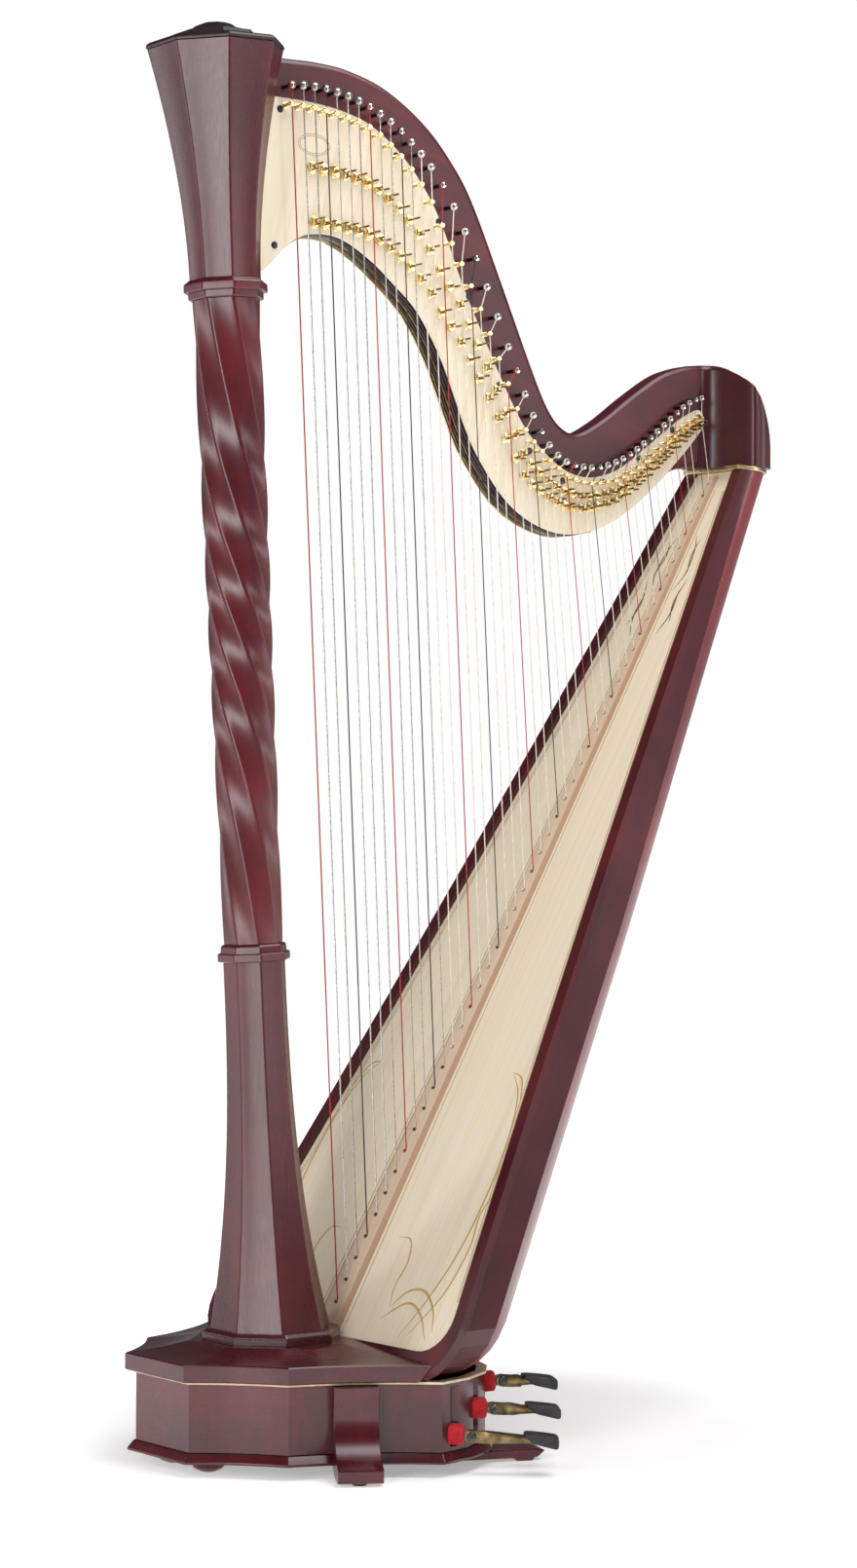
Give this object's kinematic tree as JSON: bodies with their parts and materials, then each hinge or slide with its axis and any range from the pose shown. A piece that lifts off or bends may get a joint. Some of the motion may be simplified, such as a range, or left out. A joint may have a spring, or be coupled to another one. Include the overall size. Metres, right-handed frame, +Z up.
{
  "type": "concert pedal harp",
  "caption": "Free-standing concert pedal harp with a twisted octagonal column, curved neck, tapering soundbox, fold-up pedals and turning semitone discs.",
  "frame": {"origin": "on the floor, under the middle of the harp's bounding box", "axes": "+Z up, +X from the column towards the player, -Y the side that carries the strings"},
  "size_m": [1.0507, 0.6795, 1.8701],
  "materials": {
    "mahogany_stain": "stained and lacquered",
    "maple": "clear satin",
    "spruce": "clear satin",
    "brass": "polished",
    "steel": "brushed",
    "frame_steel": "blackened",
    "pedal_brass": "antique, with black rubber cap",
    "string_nylon": "smooth"
  },
  "bodies": {
    "frame": {"pedal_box": "mahogany_stain", "pedal_frame": "frame_steel", "skirt": "mahogany_stain", "purfling": "maple", "base_top": "mahogany_stain", "plinth": "mahogany_stain", "leg_left": "mahogany_stain", "leg_right": "mahogany_stain", "tail_foot_left": "mahogany_stain", "tail_foot_right": "mahogany_stain", "column_lower": "mahogany_stain", "lower_collar": "mahogany_stain", "column_twist": "mahogany_stain", "upper_collar": "mahogany_stain", "capital": "mahogany_stain", "capital_lid": "mahogany_stain", "neck": "mahogany_stain", "action_plate_near": "maple", "action_plate_far": "brass", "crown": "mahogany_stain", "brass_band": "brass", "soundbox": "mahogany_stain", "soundboard": "spruce", "edge_trim": "mahogany_stain", "strings": "string_nylon"},
    "lever_D": {"pedal_lever_D": "steel"},
    "foot_D": {"pedal_foot_D": "pedal_brass"},
    "rod_D": {"pedal_rod_D": "steel"},
    "disc_upper_D": {"disc_upper_D": "brass"},
    "disc_lower_D": {"disc_lower_D": "brass"},
    "lever_C": {"pedal_lever_C": "steel"},
    "foot_C": {"pedal_foot_C": "pedal_brass"},
    "rod_C": {"pedal_rod_C": "steel"},
    "disc_upper_C": {"disc_upper_C": "brass"},
    "disc_lower_C": {"disc_lower_C": "brass"},
    "lever_B": {"pedal_lever_B": "steel"},
    "foot_B": {"pedal_foot_B": "pedal_brass"},
    "rod_B": {"pedal_rod_B": "steel"},
    "disc_upper_B": {"disc_upper_B": "brass"},
    "disc_lower_B": {"disc_lower_B": "brass"},
    "lever_E": {"pedal_lever_E": "steel"},
    "foot_E": {"pedal_foot_E": "pedal_brass"},
    "rod_E": {"pedal_rod_E": "steel"},
    "disc_upper_E": {"disc_upper_E": "brass"},
    "disc_lower_E": {"disc_lower_E": "brass"},
    "lever_F": {"pedal_lever_F": "steel"},
    "foot_F": {"pedal_foot_F": "pedal_brass"},
    "rod_F": {"pedal_rod_F": "steel"},
    "disc_upper_F": {"disc_upper_F": "brass"},
    "disc_lower_F": {"disc_lower_F": "brass"},
    "lever_G": {"pedal_lever_G": "steel"},
    "foot_G": {"pedal_foot_G": "pedal_brass"},
    "rod_G": {"pedal_rod_G": "steel"},
    "disc_upper_G": {"disc_upper_G": "brass"},
    "disc_lower_G": {"disc_lower_G": "brass"},
    "lever_A": {"pedal_lever_A": "steel"},
    "foot_A": {"pedal_foot_A": "pedal_brass"},
    "rod_A": {"pedal_rod_A": "steel"},
    "disc_upper_A": {"disc_upper_A": "brass"},
    "disc_lower_A": {"disc_lower_A": "brass"}
  },
  "joints": [
    {"name": "pedal_D", "type": "hinge", "parent": "frame", "child": "lever_D", "pos_m": [-0.4719, -0.048, 0.078], "axis": [0.6216, 0.7833, 0], "range_deg": [-9.39, 0]},
    {"name": "fold_D", "type": "hinge", "parent": "lever_D", "child": "foot_D", "pos_m": [-0.20784, -0.25754, 0.04925], "axis": [-0.6216, -0.7833, 0], "range_deg": [0, 60]},
    {"name": "rod_slide_D", "type": "slide", "parent": "frame", "child": "rod_D", "axis": [-0.0581, 0, 0.9983], "range_m": [0, 0.0122]},
    {"name": "disc_turn_upper_D", "type": "hinge", "parent": "frame", "child": "disc_upper_D", "pos_m": [0.06998, 0, 1.37289], "axis": [0, 1, 0], "range_deg": [-45.3, 0]},
    {"name": "disc_turn_lower_D", "type": "hinge", "parent": "frame", "child": "disc_lower_D", "pos_m": [0.07253, 0, 1.34012], "axis": [0, 1, 0], "range_deg": [-45.3, 0]},
    {"name": "pedal_C", "type": "hinge", "parent": "frame", "child": "lever_C", "pos_m": [-0.4719, -0.032, 0.078], "axis": [0.5429, 0.8398, 0], "range_deg": [-4.18, 4.18]},
    {"name": "fold_C", "type": "hinge", "parent": "lever_C", "child": "foot_C", "pos_m": [-0.15559, -0.23649, 0.07693], "axis": [-0.5429, -0.8398, 0], "range_deg": [0, 60]},
    {"name": "rod_slide_C", "type": "slide", "parent": "frame", "child": "rod_C", "axis": [-0.0581, 0, 0.9983], "range_m": [-0.0062, 0.0062]},
    {"name": "disc_turn_upper_C", "type": "hinge", "parent": "frame", "child": "disc_upper_C", "pos_m": [0.05377, 0, 1.40302], "axis": [0, 1, 0], "range_deg": [-22.8, 22.8]},
    {"name": "disc_turn_lower_C", "type": "hinge", "parent": "frame", "child": "disc_lower_C", "pos_m": [0.05639, 0, 1.36711], "axis": [0, 1, 0], "range_deg": [-22.8, 22.8]},
    {"name": "pedal_B", "type": "hinge", "parent": "frame", "child": "lever_B", "pos_m": [-0.4719, -0.016, 0.078], "axis": [0.4598, 0.888, 0], "range_deg": [0, 7.77]},
    {"name": "fold_B", "type": "hinge", "parent": "lever_B", "child": "foot_B", "pos_m": [-0.11424, -0.20118, 0.1043], "axis": [-0.4598, -0.888, 0], "range_deg": [0, 60]},
    {"name": "rod_slide_B", "type": "slide", "parent": "frame", "child": "rod_B", "axis": [-0.0581, 0, 0.9983], "range_m": [-0.0122, 0]},
    {"name": "disc_turn_upper_B", "type": "hinge", "parent": "frame", "child": "disc_upper_B", "pos_m": [0.14525, 0, 1.30691], "axis": [0, 1, 0], "range_deg": [0, 45.3]},
    {"name": "disc_turn_lower_B", "type": "hinge", "parent": "frame", "child": "disc_lower_B", "pos_m": [0.14769, 0, 1.2849], "axis": [0, 1, 0], "range_deg": [0, 45.3]},
    {"name": "pedal_E", "type": "hinge", "parent": "frame", "child": "lever_E", "pos_m": [-0.4719, 0, 0.078], "axis": [-0.3723, 0.9281, 0], "range_deg": [0, 7.54]},
    {"name": "fold_E", "type": "hinge", "parent": "lever_E", "child": "foot_E", "pos_m": [-0.08732, 0.15425, 0.10425], "axis": [0.3723, -0.9281, 0], "range_deg": [0, 60]},
    {"name": "rod_slide_E", "type": "slide", "parent": "frame", "child": "rod_E", "axis": [-0.0581, 0, 0.9983], "range_m": [-0.0122, 0]},
    {"name": "disc_turn_upper_E", "type": "hinge", "parent": "frame", "child": "disc_upper_E", "pos_m": [0.08571, 0, 1.34773], "axis": [0, 1, 0], "range_deg": [0, 45.3]},
    {"name": "disc_turn_lower_E", "type": "hinge", "parent": "frame", "child": "disc_lower_E", "pos_m": [0.08822, 0, 1.31781], "axis": [0, 1, 0], "range_deg": [0, 45.3]},
    {"name": "pedal_F", "type": "hinge", "parent": "frame", "child": "lever_F", "pos_m": [-0.4719, 0.016, 0.078], "axis": [-0.4598, 0.888, 0], "range_deg": [-3.89, 3.89]},
    {"name": "fold_F", "type": "hinge", "parent": "lever_F", "child": "foot_F", "pos_m": [-0.11348, 0.20157, 0.07694], "axis": [0.4598, -0.888, 0], "range_deg": [0, 60]},
    {"name": "rod_slide_F", "type": "slide", "parent": "frame", "child": "rod_F", "axis": [-0.0581, 0, 0.9983], "range_m": [-0.0062, 0.0062]},
    {"name": "disc_turn_upper_F", "type": "hinge", "parent": "frame", "child": "disc_upper_F", "pos_m": [0.10045, 0, 1.3345], "axis": [0, 1, 0], "range_deg": [-22.8, 22.8]},
    {"name": "disc_turn_lower_F", "type": "hinge", "parent": "frame", "child": "disc_lower_F", "pos_m": [0.10296, 0, 1.30675], "axis": [0, 1, 0], "range_deg": [-22.8, 22.8]},
    {"name": "pedal_G", "type": "hinge", "parent": "frame", "child": "lever_G", "pos_m": [-0.4719, 0.032, 0.078], "axis": [-0.5429, 0.8398, 0], "range_deg": [-4.18, 4.18]},
    {"name": "fold_G", "type": "hinge", "parent": "lever_G", "child": "foot_G", "pos_m": [-0.15559, 0.23649, 0.07693], "axis": [0.5429, -0.8398, 0], "range_deg": [0, 60]},
    {"name": "rod_slide_G", "type": "slide", "parent": "frame", "child": "rod_G", "axis": [-0.0581, 0, 0.9983], "range_m": [-0.0062, 0.0062]},
    {"name": "disc_turn_upper_G", "type": "hinge", "parent": "frame", "child": "disc_upper_G", "pos_m": [0.11523, 0, 1.32441], "axis": [0, 1, 0], "range_deg": [-22.8, 22.8]},
    {"name": "disc_turn_lower_G", "type": "hinge", "parent": "frame", "child": "disc_lower_G", "pos_m": [0.11773, 0, 1.29864], "axis": [0, 1, 0], "range_deg": [-22.8, 22.8]},
    {"name": "pedal_A", "type": "hinge", "parent": "frame", "child": "lever_A", "pos_m": [-0.4719, 0.048, 0.078], "axis": [-0.6216, 0.7833, 0], "range_deg": [0, 9.39]},
    {"name": "fold_A", "type": "hinge", "parent": "lever_A", "child": "foot_A", "pos_m": [-0.2077, 0.25765, 0.10461], "axis": [0.6216, -0.7833, 0], "range_deg": [0, 60]},
    {"name": "rod_slide_A", "type": "slide", "parent": "frame", "child": "rod_A", "axis": [-0.0581, 0, 0.9983], "range_m": [-0.0122, 0]},
    {"name": "disc_turn_upper_A", "type": "hinge", "parent": "frame", "child": "disc_upper_A", "pos_m": [0.13014, 0, 1.31489], "axis": [0, 1, 0], "range_deg": [0, 45.3]},
    {"name": "disc_turn_lower_A", "type": "hinge", "parent": "frame", "child": "disc_lower_A", "pos_m": [0.13263, 0, 1.29105], "axis": [0, 1, 0], "range_deg": [0, 45.3]}
  ],
  "couplings": [
    {"joint": "rod_slide_D", "follows": "pedal_D", "m_per_rad": -0.07325},
    {"joint": "disc_turn_upper_D", "follows": "pedal_D", "ratio": 4.794},
    {"joint": "disc_turn_lower_D", "follows": "pedal_D", "ratio": 4.794},
    {"joint": "rod_slide_C", "follows": "pedal_C", "m_per_rad": -0.08217},
    {"joint": "disc_turn_upper_C", "follows": "pedal_C", "ratio": 5.3782},
    {"joint": "disc_turn_lower_C", "follows": "pedal_C", "ratio": 5.3782},
    {"joint": "rod_slide_B", "follows": "pedal_B", "m_per_rad": -0.08845},
    {"joint": "disc_turn_upper_B", "follows": "pedal_B", "ratio": 5.7889},
    {"joint": "disc_turn_lower_B", "follows": "pedal_B", "ratio": 5.7889},
    {"joint": "rod_slide_E", "follows": "pedal_E", "m_per_rad": -0.09114},
    {"joint": "disc_turn_upper_E", "follows": "pedal_E", "ratio": 5.9651},
    {"joint": "disc_turn_lower_E", "follows": "pedal_E", "ratio": 5.9651},
    {"joint": "rod_slide_F", "follows": "pedal_F", "m_per_rad": -0.08845},
    {"joint": "disc_turn_upper_F", "follows": "pedal_F", "ratio": 5.7889},
    {"joint": "disc_turn_lower_F", "follows": "pedal_F", "ratio": 5.7889},
    {"joint": "rod_slide_G", "follows": "pedal_G", "m_per_rad": -0.08217},
    {"joint": "disc_turn_upper_G", "follows": "pedal_G", "ratio": 5.3782},
    {"joint": "disc_turn_lower_G", "follows": "pedal_G", "ratio": 5.3782},
    {"joint": "rod_slide_A", "follows": "pedal_A", "m_per_rad": -0.07325},
    {"joint": "disc_turn_upper_A", "follows": "pedal_A", "ratio": 4.794},
    {"joint": "disc_turn_lower_A", "follows": "pedal_A", "ratio": 4.794}
  ]
}
